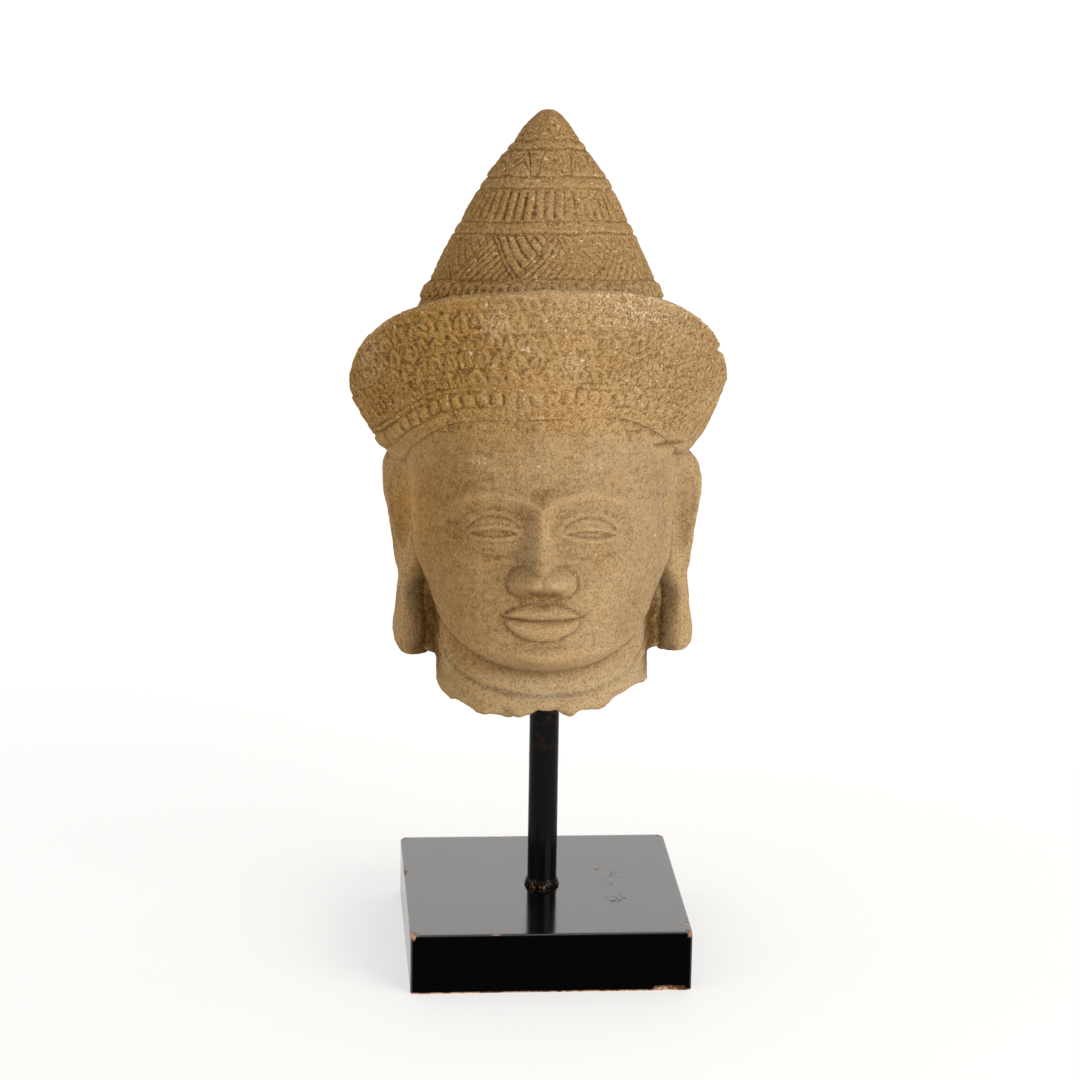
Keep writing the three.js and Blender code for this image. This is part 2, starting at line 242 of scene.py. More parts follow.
def noseRelief(x, z):
    # a straight ridge that widens downwards to a round tip, two wings and two nostrils
    side = np.abs(x)
    run = step(z, noseBase - 2, noseBase + 5) * (1 - step(z, brow - 8, brow + 8))
    rise = lerp(19, 5, step(z, noseBase, brow))
    width = lerp(9.5, 6.5, step(z, noseBase + 3, brow))
    bridge = rise * run * np.exp(-(side / width) ** 2.1)
    tip = 2.6 * mound(x / 11, (z - noseBase - 7.5) / 10)
    wings = 9.5 * mound((side - 9.6) / 9.6, (z - noseBase - 5) / 8.8)
    hollowPath = np.hypot((side - 8.6) / 9.6, (z - noseBase - 4) / 9.4) - 1
    crease = -0.8 * ridge(hollowPath, 0.13) * step(side, 12, 17) * window(z, noseBase, noseBase + 13, 3)
    nostrils = -2.6 * ridge(side - 6.2, 2.6) * ridge(z - noseBase - 0.4, 1.8)
    return bridge + tip + wings + crease + nostrils


def mouthRelief(x, z):
    # two soft lips between curved outlines, a parting line whose ends rise a little, and a groove above
    side = np.abs(x)
    half = 0.8 * eyeWidth
    across = np.clip(1 - (side / half) ** 2, 0, 1)
    parting = mouthLine + 1.8 * (side / half) ** 2
    top = parting + 7.4 * across ** 0.8 - 1.6 * ridge(x, 4)
    bottom = parting - 8.6 * np.sqrt(across)
    above = np.clip((z - parting) / np.maximum(top - parting, 0.5), 0, 1.25)
    below = np.clip((parting - z) / np.maximum(parting - bottom, 0.5), 0, 1.25)
    inside = step(across, 0, 0.3)
    upperLip = 4 * np.sin(np.pi * above / 1.25) ** 0.8 * inside
    lowerLip = 4.4 * np.sin(np.pi * below / 1.25) ** 0.8 * inside
    muzzle = 3 * ridge(x, 27) * ridge(z - mouthLine, 17)
    line = -1.1 * ridge(z - parting, 0.9) * (1 - step(side, half, half + 3))
    corners = -1.2 * ridge(side - half - 1, 3) * ridge(z - mouthLine - 1.8, 3.4)
    groove = -1 * ridge(x, 2.8) * window(z, mouthLine + 8, noseBase - 3, 2)
    return upperLip + lowerLip + muzzle + line + corners + groove


def faceRelief(x, z):
    # forward reach over the plain head form: brow, cheeks, temples and chin round the features
    side = np.abs(x)
    eye = (side - eyeWidth) / eyeWidth
    browCurve = brow - 2 + 7 * (1 - eye * eye)
    browFade = 1 - step(side, 1.5 * eyeWidth, 2.1 * eyeWidth)
    forms = (2.2 * ridge(z - browCurve, 5) + 0.7 * ridge(z - browCurve, 1.7)) * browFade
    forms += -2.2 * ridge(z - mouthLine + 14, 4) * ridge(x, 16)
    forms += 4.5 * ridge(z - s["chin"] - 9, 9) * ridge(x, 15)
    forms += 2.6 * ridge(side - 33, 16) * ridge(z - noseBase - 5, 20)
    forms += -1.2 * ridge(side - 50, 9) * ridge(z - brow - 10, 14)
    return forms + eyeRelief(side, z) + noseRelief(x, z) + mouthRelief(x, z)


faceSide = through([(10, 40), (30, 50), (45, 56), (60, 60), (85, 63), (110, 64.5), (170, 66)])
faceFront = through([(10, 62), (25, 70), (50, 73), (90, 74), (115, 77), (170, 75)])
faceBack = through([(10, 50), (50, 60), (80, 70), (115, 79), (170, 80)])
jawLine = through([(0, 17), (0.5, 20), (1, 31), (1.4, 50), (1.9, 60), (math.pi, 46)])
breakLine = through([
    (-math.pi, 6), (-1.5, 9), (-1.1, 6), (-0.7, -1), (-0.42, -2.4), (-0.1, 2.2), (0.3, -0.6), (0.6, 2.6),
    (1.3, 13), (math.pi, 6)])


def coreRadius(angle, z):
    # face oval rounded off along the jaw, blended by soft maximum with the oval of the neck
    lift = jawLine(np.abs(angle))
    under = np.clip((lift + 17 - z) / 17, 0, 1)
    form = oval(angle, faceFront(z), faceSide(z), faceBack(z), 2.35)
    neckSide = lerp(57, 52, step(z, 60, 110))
    webFoot = s["earBottom"] - 0.5 + s["lobeDrop"] * np.sin(angle)
    web = 15 * ridge(np.abs(angle) - 1.92, 0.22) * step(z, webFoot, webFoot + 4)
    fold = (0.8 * ridge(z - lift + 13, 3) - 1.3 * ridge(z - lift + 8, 2.2)) * ridge(angle, 1.2)
    neck = oval(angle, 50, neckSide, 58, 2.2) + web + fold
    earRoot = 6 * ridge(np.abs(angle) - 1.5, 0.28) * step(z, 58, 84)
    temple = 5.5 * ridge(np.abs(angle) - 1.12, 0.3) * step(z, 112, 140)
    return softMax(form * np.sqrt(1 - under * under) + earRoot + temple, neck, 3)


def headCore():
    # rings of coreRadius at heights from the broken edge up, moved forward by faceRelief in front
    faceArc = 1.35
    angle = ringAngles(faceArc, 230, 110)
    edge = breakLine(angle) + 1.2 * np.sin(7 * angle) + 0.8 * np.sin(13 * angle + 1)
    ringPoints = np.stack([50 * np.sin(angle), 50 * np.cos(angle), 0 * angle], axis=-1)
    edge = edge + 1.2 * lumps(ringPoints, 9, 3) + 0.6 * lumps(ringPoints, 4, 4)
    heights = spread((0, 30, 22), (30, 112, 86), (112, s["hairline"] + 3, 34))[:, None]
    z = heights + np.maximum(0, (edge + 2) * (1 - heights / 30))
    skin = around(angle, coreRadius(angle, z), z)
    front = 1 - step(np.abs(angle), faceArc - 0.25, faceArc)
    skin[..., 1] -= front * faceRelief(skin[..., 0] - sway(z), z)
    hair = window(np.abs(angle), 2.05, 4, 0.12) * window(z, 74, 200, 4)
    locks = s["lockDepth"] * (1 + np.sin(s["lockCount"] * angle))
    skin *= 1 - np.stack([hair, hair, 0 * hair], axis=-1) * locks[None, :, None]
    under = []
    for share, keep in ((0.2, 0.05), (0.4, 0.15), (0.6, 0.45), (0.75, 0.7), (0.88, 0.88), (0.965, 1)):
        under.append(around(angle, share * coreRadius(angle, edge), edge * keep + 4 * (1 - keep)))
    lowPole = around(0 * angle, 0, 5)
    highPole = around(0 * angle, 0, s["hairline"] + 8)
    return np.concatenate([[lowPole], under, skin, [highPole]])


earOuter = through([
    (24, 75), (31, 79), (39, 80.2), (55, 78.4), (72, 77.2), (99, 81), (116, 84.3), (130, 83.4), (142, 77)])
earInner = through([(24, 63), (39, 63), (55, 64.5), (72, 65), (99, 63), (142, 62)])


def ear(side):
    # slab half turned to the front: at each height a flattened loop, with rim, hollow and lobe on its front
    run = np.linspace(0, 1, 112)[:, None]
    loop = -side * np.linspace(0, 2 * math.pi, 96, endpoint=False)
    turn = math.radians(s["earTurn"])
    z = lerp(s["earBottom"] + side * s["lobeDrop"], s["earTop"], 0.5 - 0.5 * np.cos(np.pi * run))
    roundOff = np.sqrt(1 - np.abs(2 * run - 1) ** 9)
    middle = 0.5 * (earInner(z) + earOuter(z))
    reach = (earOuter(z) - earInner(z)) / 2 / math.cos(turn) * roundOff
    across = np.cos(loop)
    facing = np.clip(np.sin(loop), 0, 1) ** 0.4
    bowl = np.clip(1 - ((across - 0.02) / 0.64) ** 2 - ((z - 105) / 24) ** 2, 0, 1) ** 0.8
    rim = s["earRim"] * ridge(across - 0.8, 0.16) * window(z, 74, 136, 5)
    fold = 1 * ridge(across - 0.3 - 0.2 * ridge(z - 96, 16), 0.14) * window(z, 86, 122, 5)
    tragus = 1.6 * ridge(across + 0.66, 0.2) * ridge(z - 95, 6)
    lobe = -0.9 * ridge(across + 0.1, 0.4) * window(z, 32, 72, 8)
    relief = (rim + fold + tragus + lobe - s["bowlDepth"] * bowl) * facing * roundOff
    thick = s["earThickness"] * np.sign(np.sin(loop)) * np.abs(np.sin(loop)) ** 0.8
    off = thick * roundOff + relief
    along = reach * across
    x = middle + along * math.cos(turn) + off * math.sin(turn)
    setback = s["lobeSetback"] * np.clip(-across, 0, 1) ** 1.3 * (1 - step(z, 58, 76))
    y = 9 + along * math.sin(turn) - off * math.cos(turn) + setback
    return np.stack([sway(z) + side * x, y, z + 0 * x], axis=-1)


diademFoot = through([
    (0, s["hairline"]), (0.55, 156.5), (0.8, 151.5), (1.1, 142.5), (1.4, 135), (2, 130), (math.pi, 127)])
rimLine = through([
    (0, 221.5), (0.52, 218.4), (0.96, 206.4), (1.31, 188.5), (1.57, 172.7), (2.36, 166.6), (math.pi, 166.6)])


def diademWear(angle, height):
    # how much carving is left: most at the left and the middle, little at the right
    places = np.stack([90 * angle, height, 0 * height + 5], axis=-1)
    return np.clip(1.05 - 0.75 * step(angle, 0.05, 0.7) + 0.5 * lumps(places, 15, 21), 0.2, 1.1)


def diademRelief(angle, height, band):
    # pearls between fillets, then courses of leaf scales; height is above the band's foot
    drift = np.stack([90 * angle, height, 0 * height], axis=-1)
    rise = height + 0.7 * lumps(drift, 13, 11) + 0.4 * lumps(drift, 4, 16)
    wear = diademWear(angle, height)
    low, high = s["filletHeight"], s["filletHeight"] + s["pearlHeight"]
    cell = angle / s["pearlWidth"] + 0.16 * lumps(drift, 15, 12) + 0.06 * lumps(drift, 3, 17)
    apart = cell - np.round(cell)
    kind = 0.7 + 0.3 * np.cos(2.1 * np.round(cell))
    pearl = s["pearlDepth"] * mound(apart / 0.62, (rise - (low + high) / 2) / (0.7 * (high - low))) * kind
    slit = -s["slitDepth"] * ridge(np.abs(apart) - 0.5, 0.11) * kind
    slit = slit * window(rise, low + 0.6, high - 0.6, 0.8)
    broken = np.clip(0.7 + 0.8 * lumps(drift, 9, 18), 0.25, 1)
    lines = -0.9 * ridge(rise - low + 0.2, 0.8) - 0.9 * ridge(rise - high - 0.8, 0.8)
    lines = lines - 0.7 * ridge(rise - high - 3.6, 0.8) + 0.3 * ridge(rise - high - 2.2, 0.8)
    field = window(height, high + 5, band - 3, 2.5)
    course = (height + 1.7 * lumps(drift, 11, 14) + 0.5 * lumps(drift, 4, 15) - high - 4) / 9.4
    row = np.floor(course)
    within = course - row
    leaf = angle * 90 / 9.6 + 0.5 * (row % 2) + 0.3 * lumps(drift, 10, 13) + 0.07 * lumps(drift, 3, 19)
    sideways = (leaf - np.floor(leaf) - 0.5) * 2
    tip = 0.95 - 0.75 * np.abs(sideways) ** 1.8
    scale = s["scaleDepth"] * (1 - step(within - tip, -0.18, 0.16)) * (0.25 + 0.75 * within)
    vein = -0.7 * ridge(sideways, 0.2) * window(within, 0.1, 0.7, 0.15)
    pitted = -0.9 * step(lumps(drift, 4.4, 20), 0.45, 0.8)
    carved = (scale + vein + pitted - 0.5) * field * wear * (0.5 + 0.7 * broken)
    kept = 0.55 + 0.45 * step(-angle, 0.05, 0.5)
    return (pearl + slit + lines * broken) * (0.3 + 0.7 * wear) * kept + carved


def bandPoints(angle, climb, proud):
    # from the foot oval to the rim oval: radius grows as climb^flare, height runs from foot to rim
    facing = np.clip(np.cos(angle), 0, 1)
    flare = lerp(0.65, 1.15, facing)
    foot = oval(angle, 76.7, 76, 82, 2)
    rim = oval(angle, s["rimFront"], s["rimSide"], s["rimBack"], s["rimFullness"])
    radius = lerp(foot, rim, np.clip(climb, 0, 1) ** flare) + proud
    points = around(angle, radius, lerp(diademFoot(np.abs(angle)), rimLine(np.abs(angle)), climb))
    points[..., 2] += s["diademRoll"] * points[..., 0]
    return points


def diadem():
    # outer face in fine rows, then over the rounded rim and down to the valley round the cone
    carvedArc = math.radians(112)
    angle = ringAngles(carvedArc, 330, 80)
    band = rimLine(np.abs(angle)) - diademFoot(np.abs(angle))
    climb = np.linspace(0, 1, 68)[:, None] + 0 * angle
    carved = 1 - step(np.abs(angle), carvedArc - 0.06, carvedArc)
    relief = diademRelief(angle + 0 * climb, climb * band, band) * carved
    relief = relief + 0.25 * (1 - carved) * window(climb * band, 6, 13.5, 1)
    face = bandPoints(angle, climb, relief)
    turn = np.linspace(0, np.pi, 12)[1:, None]
    crest = bandPoints(angle, 1 + 0 * turn, -4.5 + 4.5 * np.cos(turn))
    crest[..., 2] += 2.6 * np.sin(turn)
    inner = [bandPoints(angle, 1, -11), bandPoints(angle, 1, -14), bandPoints(angle, 1, -22)]
    for ring, drop in zip(inner, (2, 5, 7)):
        ring[..., 2] -= drop
    foot = bandPoints(angle, 0, -7)
    lowPole = around(0 * angle, 0, s["crownBottom"])
    highPole = around(0 * angle, 0, 185)
    return np.concatenate([[lowPole], [foot], face, crest, inner, [highPole]])


coneSlope = through([
    (s["crownBottom"], 76), (180, 75), (s["coneFoot"], 65.3), (236, 57), (256, 46.8), (279.6, 33.6),
    (302, 18.2), (311, 12), (317.5, 5.5), (s["apex"], 1.5)])


def fraction(x):
    return x - np.floor(x)


def zigzagRelief(angle, z, low, high):
    # triangles point down and up in turn, each hatched along one of its sides
    lap = fraction((angle - s["zigzagTurn"]) * s["zigzagCount"] / (2 * math.pi) + 0.5)
    tall = high - low
    edge = low + tall * 2 * np.abs(lap - 0.5)
    hanging = step(z - edge, -0.5, 0.5)
    leftSide = z - (low + tall * (1 - 2 * lap))
    rightSide = low + tall * 2 * fraction(lap + 0.5) - z
    hatchDown = -s["hatchDepth"] * ridge(fraction(leftSide / 7.6) - 0.5, 0.14) * hanging
    hatchUp = -s["crossHatchDepth"] * ridge(fraction(rightSide / 5.6) - 0.5, 0.16) * (1 - hanging)
    return 0.4 * hanging + hatchDown + hatchUp - 1.6 * ridge(z - edge, 1.2)


def petalRelief(angle, z, low, high):
    # round and pointed arches in turn, each with a smaller arch inside
    turns = (angle - s["petalTurn"]) * s["petalCount"] / (2 * math.pi) + 0.5
    lap = 2 * fraction(turns) - 1
    pointed = np.floor(turns) % 2
    tall = high - low - 1
    across = np.abs(lap) / 0.78
    roundArch = np.clip(1 - across ** 2.4, 0, 1) ** 0.45
    sharpArch = np.clip(1 - across ** 1.6, 0, 1) ** 0.8
    arch = lerp(roundArch, sharpArch, pointed)
    outer = z - (low + tall * arch)
    inner = z - (low + tall * (0.62 * arch - 0.02))
    body = 0.9 * (1 - step(outer, -0.8, 0.5))
    stem = -0.6 * ridge(lap, 0.12) * (z < low + 0.5 * tall)
    return body - s["archDepth"] * ridge(outer, 1.1) - s["innerArchDepth"] * ridge(inner, 0.9) + stem


def coneRelief(angle, z):
    # incised rings part the tiers; each tier has its own motif, all worn unevenly
    places = np.stack([46 * angle, z, 0 * z], axis=-1)
    bentAngle = angle + 0.02 * lumps(places, 11, 31) + 0.006 * lumps(places, 3.5, 35)
    bentZ = z + 0.7 * lumps(places, 15, 32) + 0.25 * lumps(places, 4, 36)
    wear = 0.9 + 0.6 * lumps(places, 16, 33) + 0.25 * lumps(places, 4.5, 34)
    wear = np.clip(wear - 0.25 * window(angle, 0.1, 0.6, 0.15), 0.25, 1)
    relief = 0 * bentZ
    for low, high in (s["capRing"], s["petalRing"], s["ribRing"]):
        relief += 0.45 * window(bentZ, low, high, 0.8)
        relief -= (0.9 * ridge(bentZ - low, 0.8) + 0.9 * ridge(bentZ - high, 0.8)) * (0.3 + 0.7 * wear)
        relief += 0.4 * ridge(bentZ - low + 1.6, 0.8)
    relief -= 0.9 * ridge(bentZ - s["bossRow"][1] - 1, 0.8) * (0.3 + 0.7 * wear)
    leaves = fraction(bentAngle * s["leafCount"] / (2 * math.pi)) - 0.5
    relief -= 0.5 * ridge(leaves, 0.08) * window(bentZ, 303, 316, 1.5) * wear
    petals = petalRelief(bentAngle, bentZ, s["petalRing"][1], s["capRing"][0])
    relief += petals * window(bentZ, s["petalRing"][1] + 0.5, s["capRing"][0] - 0.5, 0.5) * wear
    ribs = fraction(bentAngle * s["ribCount"] / (2 * math.pi)) - 0.5
    top = s["petalRing"][0] - 3 + 2 * np.sqrt(np.clip(1 - (2 * ribs) ** 2, 0, 1))
    groove = -s["ribDepth"] * ridge(np.abs(ribs) - 0.5, 0.17) - 0.9 * ridge(bentZ - top, 0.9)
    relief += (groove + 0.4) * window(bentZ, s["ribRing"][1] + 1.5, s["petalRing"][0] - 1, 0.8) * wear
    zigzag = zigzagRelief(bentAngle, bentZ, s["bossRow"][1] + 1, s["ribRing"][0])
    zigzag *= 0.4 + 0.6 * ridge(angle + 0.3, 0.4) + 0.6 * step(np.abs(angle), 1.1, 1.5)
    relief += zigzag * window(bentZ, s["bossRow"][1] + 1.6, s["ribRing"][0] - 0.6, 0.5) * wear
    bosses = fraction(bentAngle * s["bossCount"] / (2 * math.pi)) - 0.5
    up = bentZ - 0.5 * sum(s["bossRow"])
    sideways = bosses * 2 * math.pi * 62 / s["bossCount"]
    boss = s["bossHeight"] * dome(sideways / 4.1, up / 4.3) - 2.2 * ridge(np.hypot(sideways, up), 1.6)
    return relief + boss * np.clip(wear + 0.3, 0, 1)


def cone():
    # rings of coneSlope with coneRelief on it, up to the tip
    angle = ringAngles(math.radians(104), 290, 90)
    heights = spread((s["crownBottom"], 212, 12), (212, 304, 120), (304, 315, 14), (315, 319, 8))[:, None]
    relief = coneRelief(angle + 0 * heights, heights + 0 * angle) * step(heights, 211, 215)
    skin = around(angle, coneSlope(heights) + relief * step(s["apex"] - heights, 0, 8), heights)
    skin[..., 2] += s["coneRoll"] * (skin[..., 0] - sway(heights))
    lowPole = around(0 * angle, 0, s["crownBottom"] - 4)
    highPole = around(0 * angle, 0, s["apex"])
    return np.concatenate([[lowPole], skin, [highPole]])


def tube(radius, angle, z):
    # rings of points round the Z axis, at (radius sin, -radius cos) and these heights
    radius, angle, z = np.broadcast_arrays(radius, angle, z)
    return np.stack([radius * np.sin(angle), -radius * np.cos(angle), z], axis=-1)


def boredHole():
    # upright round plug that cuts the blind hole for the rod, in the head's own frame
    angle = np.linspace(0, 2 * math.pi, 64, endpoint=False)
    top = s["seat"] + s["holeDepth"]
    z = np.array([top - 90, top - 90, top, top])[:, None]
    radius = np.array([0, s["holeRadius"], s["holeRadius"], 0])[:, None]
    back = np.array(headPlace.inverted())
    return tube(radius, angle, z) @ back[:3, :3].T + back[:3, 3]


def weathered(points, normals):
    # grain, dents and pits along the normal: more on the crown, less on the face and neck
    crown = step(points[:, 2], 140, 158)
    front = step(-points[:, 1], 20, 50)
    calm = (1 - crown) * front
    grain = lumps(points, 1.7, 41) * lerp(0.22, 0.1, calm)
    coarse = lumps(points, 4.2, 42) * lerp(0.24, 0.15, calm)
    broad = lumps(points, 20, 43) * lerp(0.5, 0.35, calm)
    bedding = lumps(points * (0.22, 0.22, 1), 1.8, 49) * lerp(0, 0.12, calm)
    pits = -1.0 * step(lumps(points, 2.8, 44), 0.5, 0.8) * lerp(0.12, lerp(0.6, 0.12, calm), crown)
    broken = 1 - step(points[:, 2], 2, 9)
    rough = 1.1 * broken * (lumps(points, 7, 45) + 0.6 * lumps(points, 3.2, 46))
    right = step(points[:, 0], 5, 40) * step(-points[:, 1], 5, 40)
    sandy = crown * right * (1 - step(points[:, 2], 215, 222))
    grit = sandy * (0.24 * lumps(points, 1.4, 47) - 0.5 * step(lumps(points, 1.9, 48), 0.4, 0.75))
    return points + normals * (grain + coarse + broad + bedding + pits + rough + grit)[:, None]


def chipped(points):
    # places where stone is lost or cracked: (centre, size, pull inwards towards the axis)
    marks = [
        ((91.4, -27.1, 192.6), (3, 4, 2.4), 3.5), ((66, -36, 143), (9, 12, 1.3), 3.5),
        ((71, -24, 137), (4, 12, 1.4), 3), ((84, -38, 147), (1.6, 12, 4), 2.5),
        ((-55, -30, 4), (8, 14, 4), 3), ((-22, -48, -1), (5, 12, 4), 3), ((8, -50, -2), (4, 12, 4), 3),
        ((40, -36, 6), (7, 14, 5), 3), ((-104, -5, 168), (6, 10, 4), 1.5),
        ((26, -88, 226), (14, 8, 2), 1.2), ((-34, -86, 222), (10, 8, 2), 1.2),
    ]
    moved = points.copy()
    for centre, size, pull in marks:
        near = np.exp(-(((points - centre) / size) ** 2).sum(axis=1))
        inwards = points * (1, 1, 0) - (sway(points[:, 2])[:, None] * (1, 0, 0))
        length = np.maximum(np.linalg.norm(inwards, axis=1), 1)[:, None]
        moved -= inwards / length * (pull * near)[:, None]
    return moved


def hollowness(mesh, rounds):
    # how far each point lies under the average of its surroundings, along the normal, in millimetres
    places = vertexArray(mesh)
    edges = np.empty(len(mesh.edges) * 2, int)
    mesh.edges.foreach_get("vertices", edges)
    a, b = edges.reshape(-1, 2).T
    count = np.bincount(edges, minlength=len(places))[:, None]
    smooth = places
    for _ in range(rounds):
        pull = [np.bincount(a, smooth[b, k], len(places)) + np.bincount(b, smooth[a, k], len(places))
                for k in range(3)]
        smooth = 0.5 * smooth + 0.5 * np.stack(pull, axis=-1) / count
    return ((smooth - places) * vertexArray(mesh, "normal")).sum(axis=1)


paleSpots = [  # (x, z, size) of mineral spots on the front, millimetres
    (-22, 298, 4), (20, 292, 4), (-39, 135, 3), (-34, 134, 3), (21, 133, 2.5), (27, 132, 2),
    (7, 72, 3), (-35, 78, 2.5), (-56, 34, 4), (-66, 28, 4), (-53, 24, 4), (-32, 28, 2),
]
brownSpots = [(47, 62, 5), (42, 50, 6), (-44, 96, 8), (-12, 150, 6), (30, 88, 7), (16, 146, 5)]


def dabbed(x, z, spots, tall=1.0):
    # sum of soft spots, each this much taller than wide
    return sum(ridge(np.hypot(x - spotX, (z - spotZ) / tall), size) for spotX, spotZ, size in spots)


def stoneTones(mesh):
    # float attributes that the stone's colour reads, worked out in the head's own frame
    points = vertexArray(mesh)
    x, y, z = points.T
    side = np.abs(x - sway(z))
    front, crown, neck = step(-y, -10, 40), step(z, 140, 160), 1 - step(z, 12, 30)
    ears = step(side, 65, 71) * window(z, 30, 138, 6)
    # the webs behind the earlobes, which get painted shade
    lobes = ridge(side - 57, 9) * step(y, -24, -10) * window(z, 20, 60, 10)
    patchy = 0.5 + 0.5 * lumps(points, 14, 51)
    crest = z - rimLine(np.abs(np.arctan2(x - sway(z), -y))) - s["diademRoll"] * x
    # painted shade in fine and broad hollows, with a painted highlight on the ridges, thinned on the ears and
    # the front's middle
    fine = np.clip(hollowness(mesh, 3) / 0.2, -1, 1) * (1 - 0.4 * ears)
    # the lobes term adds painted shade in the webs; the ears and front terms thin the painted shade
    fine += lobes - 0.5 * ears - 0.3 * front * (neck + ridge(x - 3, 38))
    broad = np.clip(hollowness(mesh, 30) / 1.6, -1, 1) * (1 - 0.8 * ears)
    # mineral bloom near the rim and in spots, and a painted highlight along the rim's top edge
    pale = ridge(crest + 6, 9) * (ridge(x - 42, 26) + 0.8 * ridge(x + 93, 6) + 0.4 * ridge(x - 5, 9)) * front
    # painted highlight along the rim's crest, stronger on the right
    pale += (0.6 + 0.5 * step(x, 10, 50)) * ridge(crest - 2, 1.8) * (0.5 + patchy) * step(-y, -60, 0)
    pale += 0.9 * dabbed(x, z, [(-27, 208, 7)]) + 0.8 * dabbed(x, z, [(14, 184, 6)])
    pale += 0.8 * dabbed(x, z, paleSpots) * front
    # brown on the cone, the left of the diadem, the right and the ears; painted shade in the webs behind the
    # lobes and a painted warm shade on the left of the face
    umber = 0.55 * step(z, 205, 240) * (0.6 + 0.8 * patchy) + 0.4 * step(-x, 30, 75) * step(z, 150, 170)
    umber += 0.7 * dabbed(x, z, brownSpots, 1.25) * front
    # painted shade in the webs behind the lobes, and a painted warm shade on the left of the face
    umber += 1.5 * lobes + 0.2 * (1 - crown) * step(-x, 0, 50) * (1 - ears)
    umber += step(x, 20, 65) * (0.6 * window(z, 165, 212, 8) + 0.25 * window(z, 40, 140, 10)) * front
    umber += 0.7 * ridge(side - 77, 6) * ridge(z - 104, 20)
    umber += 0.15 * step(x, 5, 30) * step(z, 220, 235) + 0.25 * step(z, 285, 300)
    # grey on the face and right with painted light on the neck, rust tone with painted light in the left ear,
    # and a painted warm shade over the whole left
    # the neck term is painted light that lifts the shade under the chin
    grey = (1 - crown) * (0.2 + 0.5 * patchy + 0.6 * step(x, -35, 60) + 0.8 * neck)
    grey += step(z, 150, 170) * (0.4 * step(x, 10, 70) * (1 + patchy) + 0.2 * ridge(x - 5, 30))
    # rust-orange tone on the crown; in the left ear's hollow orange tone together with painted light
    rustAndEarLight = 1.3 * ridge(x + 76, 11) * ridge(z - 106, 26) + 0.25 * crown * ridge(x - 5, 30) * patchy
    # painted warm shade over the left side: this much on the crown, less on the face, none on the ears below
    # the crown
    crownLeftShade = (0.8 + 0.2 * patchy) * (1 - 0.3 * step(z, 215, 225))
    leftShade = lerp(0.6 * (1 - ears), crownLeftShade, crown) * step(-x, 0, 60)
    grain = 0.75 + 0.25 * crown - 0.5 * lobes
    tones = {"hollow": fine, "form": broad, "pale": pale, "umber": umber, "grey": grey, "rustAndEarLight": rustAndEarLight,
             "leftShade": leftShade, "crown": crown, "grain": grain}
    for name, values in tones.items():
        setAttribute(mesh, name, np.clip(values, -1, 1.5))


def buildStoneHead():
    shapes = {"core": headCore(), "diadem": diadem(), "cone": cone(), "earRight": ear(1), "earLeft": ear(-1)}
    things = {name: newObject(name, meshFromGrid(name, points)) for name, points in shapes.items()}
    body = things.pop("core")
    hole = newObject("hole", meshFromGrid("hole", boredHole()))
    for other, operation in [(thing, "UNION") for thing in things.values()] + [(hole, "DIFFERENCE")]:
        cut = body.modifiers.new(other.name, "BOOLEAN")
        cut.object = other
        cut.operation = operation
        cut.solver = "MANIFOLD"
    whole = newObject("stoneHead", settled(body))
    dropped(body, hole, *things.values())
    mesh = whole.data
    worn = chipped(weathered(vertexArray(mesh), vertexArray(mesh, "normal")))
    mesh.vertices.foreach_set("co", worn.ravel())
    mesh.update()
    triangles = sum(len(face.vertices) - 2 for face in mesh.polygons)
    thin = whole.modifiers.new("thin", "DECIMATE")
    thin.ratio = min(1, s["triangleLimit"] / triangles)
    fitted = settled(whole)
    whole.modifiers.clear()
    whole.data = fitted
    bpy.data.meshes.remove(mesh)
    stoneTones(fitted)
    fitted.transform(Matrix.Scale(mm, 4) @ headPlace)
    fitted.polygons.foreach_set("use_smooth", np.ones(len(fitted.polygons), bool))
    fitted.update()
    print("stone head:", triangles, "triangles thinned to", len(fitted.polygons))
    return whole


# rod and block

rodSettings = {
    "radius": 8, "foot": 8.6, "top": 198, "beadFoot": 33.6, "beadRadius": 9.3, "beadHeight": 3.6,
}


def rodPoints():
    # upright cylinder with slight waves in its paint, and an uneven bead of lacquer where it meets the block
    r = rodSettings
    angle = np.linspace(0, 2 * math.pi, 72, endpoint=False)
    low = spread((r["foot"], r["beadFoot"], 6), (r["beadFoot"], 39, 22))[:-1]
    heights = np.concatenate([low, spread((39, 128, 60), (128, r["top"], 10))])[:, None]
    spots = tube(r["radius"], angle, heights)
    up = (heights - r["beadFoot"]) / r["beadHeight"]
    uneven = 1 + 0.28 * lumps(spots, 4, 61)
    bead = (r["beadRadius"] - r["radius"]) * np.sqrt(np.clip(1 - up ** 2, 0, 1)) * (up >= 0) * uneven
    radius = r["radius"] + 0.03 * lumps(spots, 9, 62) + np.minimum(bead, r["beadRadius"] - r["radius"])
    skin = tube(radius, angle, heights)
    lowPole, highPole = skin[0] * (0, 0, 1), skin[-1] * (0, 0, 1)
    return np.concatenate([[lowPole], skin, [highPole]])


blockSettings = {
    "side": 150, "height": 33.3, "edge": 0.9, "corner": 1.4, "socketRadius": 8.3, "socketDepth": 25,
    "scratchPlace": (0.0385, -0.012), "scratchReach": (0.010, 0.034),  # in metres, as the material reads them
}


def squareRing(share, half, corner):
    # point on a square with rounded corners: the side runs straight, each corner is a quarter circle
    lap = fraction(share) * 4
    side = np.floor(lap)
    run = (lap - side) * 2 - 1
    straight = 0.92
    turn = np.clip((np.abs(run) - straight) / (1 - straight), 0, 1) * np.sign(run) * math.pi / 4
    flat = np.clip(run / straight, -1, 1) * (half - corner)
    out, along = half - corner + corner * np.cos(turn), flat + corner * np.sin(turn)
    bearing = side * math.pi / 2
    return np.stack([along * np.cos(bearing) + out * np.sin(bearing),
                     along * np.sin(bearing) - out * np.cos(bearing)], axis=-1)


